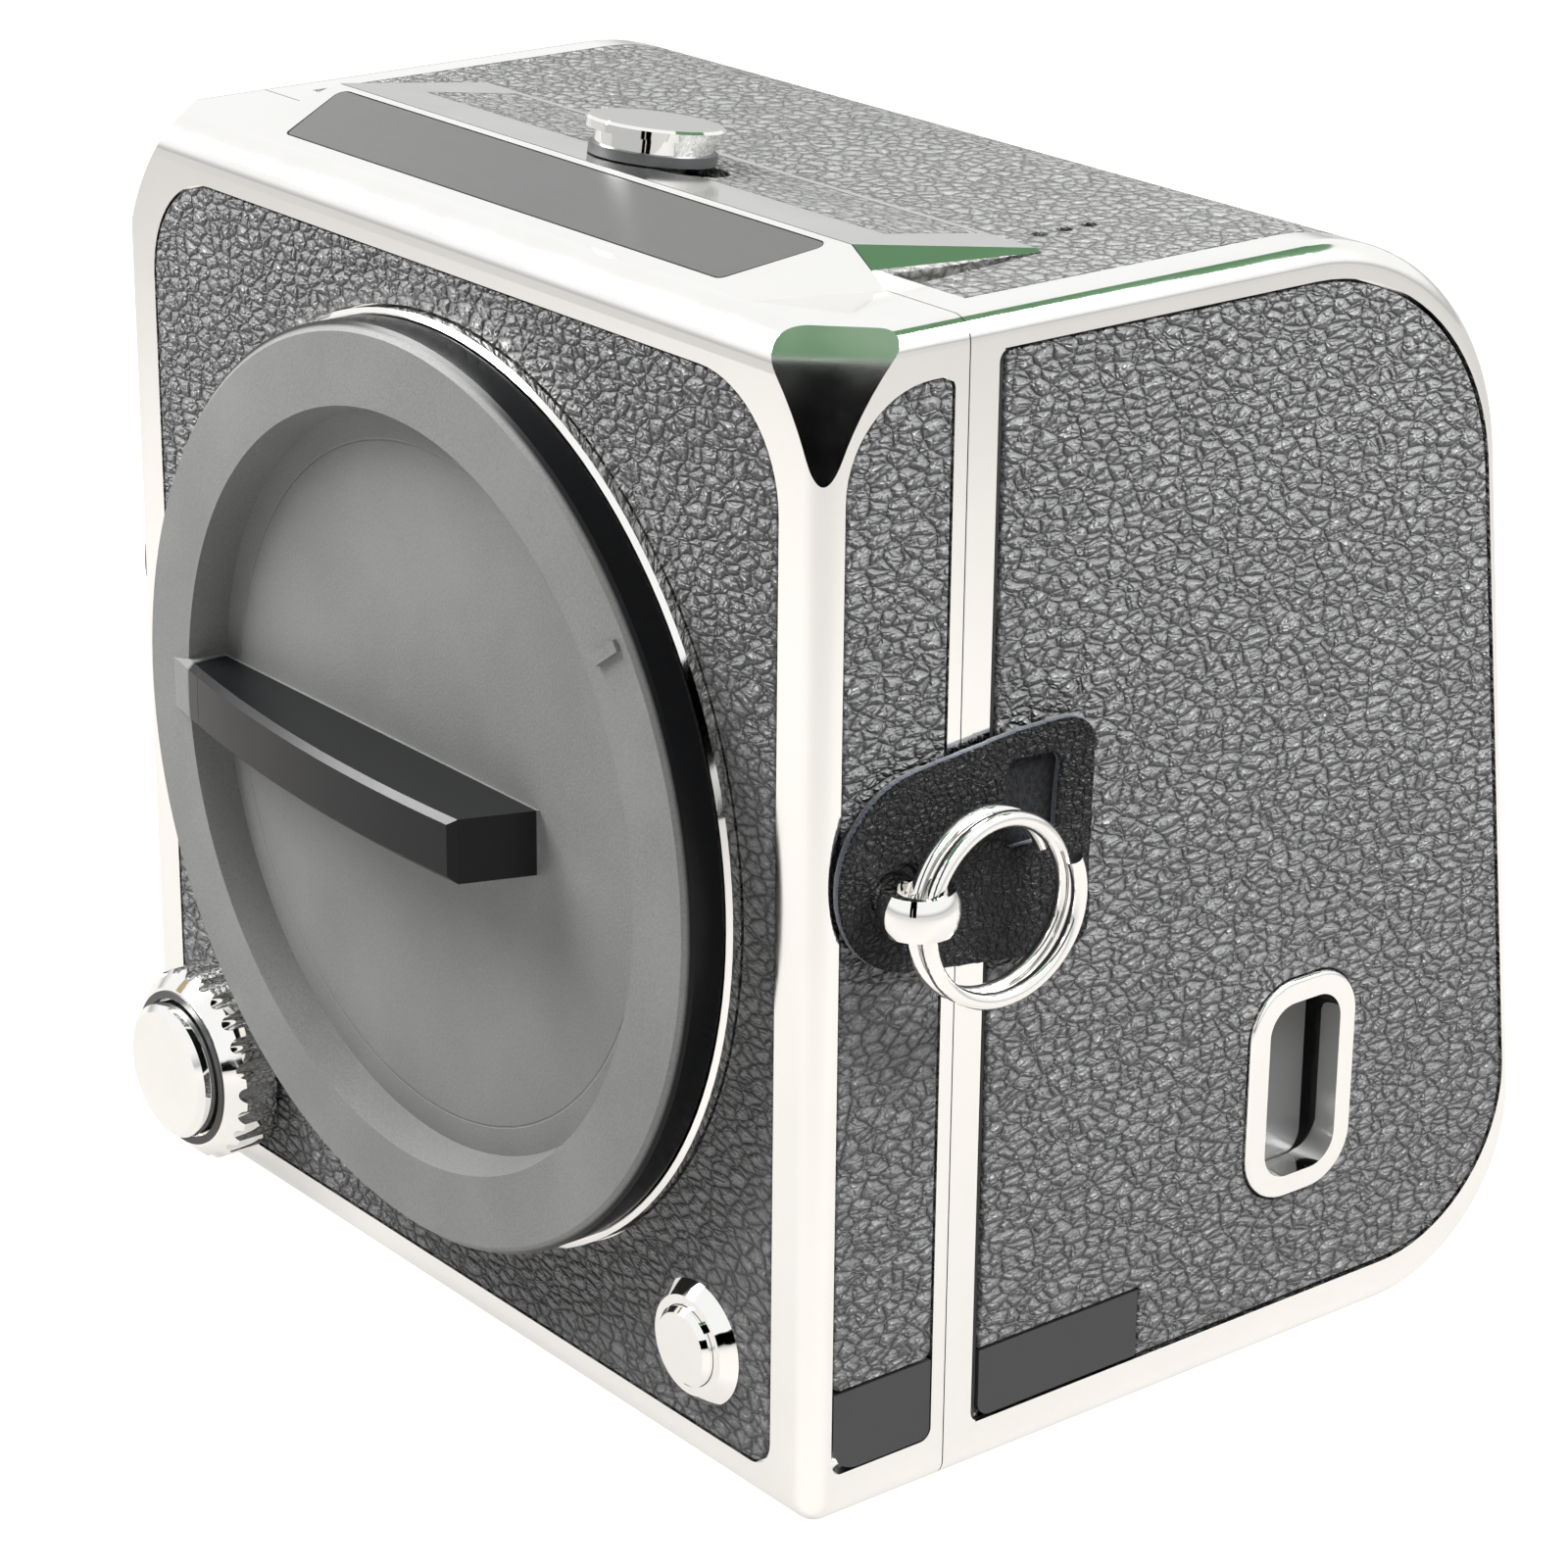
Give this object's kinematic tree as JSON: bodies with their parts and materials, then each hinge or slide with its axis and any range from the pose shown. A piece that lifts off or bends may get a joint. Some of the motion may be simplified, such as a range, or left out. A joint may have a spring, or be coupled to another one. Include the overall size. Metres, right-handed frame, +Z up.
{
  "type": "medium format digital camera",
  "caption": "Box-shaped medium format camera: a shallow front module with a capped lens mount, and a deep leather-clad digital back with a tilting screen.",
  "frame": {"origin": "mouth of the tripod socket, on the camera's base, in the middle of its width", "axes": "+X to the camera's left as its user holds it (the right as seen from the front), the lens mount faces -Y, +Z up, and the tripod socket opens towards -Z"},
  "size_m": [0.1109, 0.0836, 0.0955],
  "materials": {
    "satin_chrome": "satin chrome plating",
    "bright_chrome": "polished chrome plating",
    "leather": "pebbled dark grey leatherette",
    "strap_leather": "black leather with raw edges",
    "steel": "polished steel",
    "grey_plate": "anodised dark grey",
    "side_plate": "satin black, bare",
    "black_plastic": "fine satin",
    "black_metal": "matt black",
    "aluminium": "plain",
    "battery_shell": "satin black",
    "board": "green solder mask",
    "sensor": "glossy, dark violet",
    "clear_glass": "coated clear glass",
    "screen_glass": "black cover glass"
  },
  "bodies": {
    "camera": {"front_housing": "satin_chrome", "top_nameplate": "grey_plate", "front_leather": "leather", "front_side_leather_right": "leather", "front_side_leather_left": "leather", "front_side_plate": "side_plate", "lens_mount_ring": "bright_chrome", "lens_mount_screws": "steel", "light_chamber": "black_metal", "lens_contact_block": "black_plastic", "lens_release_bezel": "bright_chrome", "lens_release_spring": "steel", "dial_sleeve": "bright_chrome", "shutter_spring": "steel", "dial_encoder": "black_plastic", "shutter_switch": "black_plastic", "front_rear_frame": "black_metal", "tripod_bush": "steel", "strap_lug_right": "bright_chrome", "strap_lug_left": "bright_chrome", "strap_tab_right": "strap_leather", "strap_tab_left": "strap_leather", "back_housing": "satin_chrome", "back_front_plate": "satin_chrome", "top_leather": "leather", "strip_leather": "leather", "back_side_leather_left": "leather", "battery_bay": "black_plastic", "battery": "battery_shell", "memory_cards": "black_plastic", "image_sensor": "sensor", "sensor_glass": "clear_glass", "sensor_holder": "black_metal", "heat_spreader": "aluminium", "main_circuit_board": "board", "hinge_pins": "steel", "port_block": "black_plastic"},
    "cap": {"body_cap": "black_plastic"},
    "dial": {"control_dial": "bright_chrome", "dial_ring_insert": "black_plastic"},
    "shutter": {"shutter_button": "bright_chrome"},
    "release": {"lens_release_button": "bright_chrome"},
    "lock": {"lens_lock_pin": "steel"},
    "catch": {"back_catch_knob": "bright_chrome", "back_catch_disc": "black_plastic"},
    "door": {"battery_door": "black_metal", "door_leather": "leather", "back_side_plate": "side_plate", "door_catch_bezel": "bright_chrome"},
    "door_slider": {"door_catch": "black_plastic"},
    "ring_right": {"strap_ring_right": "steel"},
    "ring_left": {"strap_ring_left": "steel"},
    "screen": {"screen_frame": "black_plastic", "screen_glass": "screen_glass"},
    "port_flap": {"port_cover": "black_plastic"},
    "key_1": {"rear_button_1": "black_plastic"},
    "key_2": {"rear_button_2": "black_plastic"},
    "key_3": {"rear_button_3": "black_plastic"},
    "key_4": {"rear_button_4": "black_plastic"},
    "key_5": {"rear_button_5": "black_plastic"}
  },
  "joints": [
    {"name": "cap_pull", "type": "slide", "parent": "camera", "child": "cap", "axis": [0, -1, 0], "range_m": [0, 0.045]},
    {"name": "dial_turn", "type": "hinge", "parent": "camera", "child": "dial", "pos_m": [-0.0335, -0.0071, 0.0103], "axis": [0, -1, 0], "continuous": true},
    {"name": "shutter_press", "type": "slide", "parent": "camera", "child": "shutter", "axis": [0, 1, 0], "range_m": [0, 0.0012], "stiffness_N_per_m": 500, "springref_m": -0.001, "deforming": ["shutter_spring"]},
    {"name": "release_press", "type": "slide", "parent": "camera", "child": "release", "axis": [0, 1, 0], "range_m": [0, 0.0015], "stiffness_N_per_m": 500, "springref_m": -0.001, "deforming": ["lens_release_spring"]},
    {"name": "lock_slide", "type": "slide", "parent": "camera", "child": "lock", "axis": [0, 1, 0], "range_m": [0, 0.0015]},
    {"name": "catch_slide", "type": "slide", "parent": "camera", "child": "catch", "axis": [1, 0, 0], "range_m": [0, 0.0045], "stiffness_N_per_m": 300, "springref_m": -0.002},
    {"name": "door_swing", "type": "hinge", "parent": "camera", "child": "door", "pos_m": [0.0443, 0.00995, 0.04515], "axis": [0, 0, -1], "range_deg": [0, 95], "deforming": ["strap_tab_right"]},
    {"name": "door_catch_slide", "type": "slide", "parent": "door", "child": "door_slider", "axis": [0, 1, 0], "range_m": [0, 0.0012], "stiffness_N_per_m": 300, "springref_m": -0.001},
    {"name": "ring_right_swing", "type": "hinge", "parent": "camera", "child": "ring_right", "pos_m": [0.049, -0.0004, 0.0493], "axis": [0, 0, -1], "range_deg": [0, 170]},
    {"name": "ring_left_swing", "type": "hinge", "parent": "camera", "child": "ring_left", "pos_m": [-0.049, -0.0004, 0.0493], "axis": [0, 0, 1], "range_deg": [-38, 132]},
    {"name": "screen_tilt", "type": "hinge", "parent": "camera", "child": "screen", "pos_m": [0, 0.06028, 0.06359], "axis": [1, 0, 0], "range_deg": [0, 90]},
    {"name": "port_swing", "type": "hinge", "parent": "camera", "child": "port_flap", "pos_m": [-0.04435, 0.02405, 0.034], "axis": [0, 0, 1], "range_deg": [0, 95]},
    {"name": "key_1_press", "type": "slide", "parent": "screen", "child": "key_1", "axis": [0, -0.9922, -0.125], "range_m": [0, 0.0005], "stiffness_N_per_m": 400, "springref_m": -0.0005},
    {"name": "key_2_press", "type": "slide", "parent": "screen", "child": "key_2", "axis": [0, -0.9922, -0.125], "range_m": [0, 0.0005], "stiffness_N_per_m": 400, "springref_m": -0.0005},
    {"name": "key_3_press", "type": "slide", "parent": "screen", "child": "key_3", "axis": [0, -0.9922, -0.125], "range_m": [0, 0.0005], "stiffness_N_per_m": 400, "springref_m": -0.0005},
    {"name": "key_4_press", "type": "slide", "parent": "screen", "child": "key_4", "axis": [0, -0.9922, -0.125], "range_m": [0, 0.0005], "stiffness_N_per_m": 400, "springref_m": -0.0005},
    {"name": "key_5_press", "type": "slide", "parent": "screen", "child": "key_5", "axis": [0, -0.9922, -0.125], "range_m": [0, 0.0005], "stiffness_N_per_m": 400, "springref_m": -0.0005}
  ],
  "couplings": [
    {"joint": "lock_slide", "follows": "release_press", "ratio": 1},
    {"joint": "ring_right_swing", "follows": "door_swing", "ratio": 0.8}
  ]
}
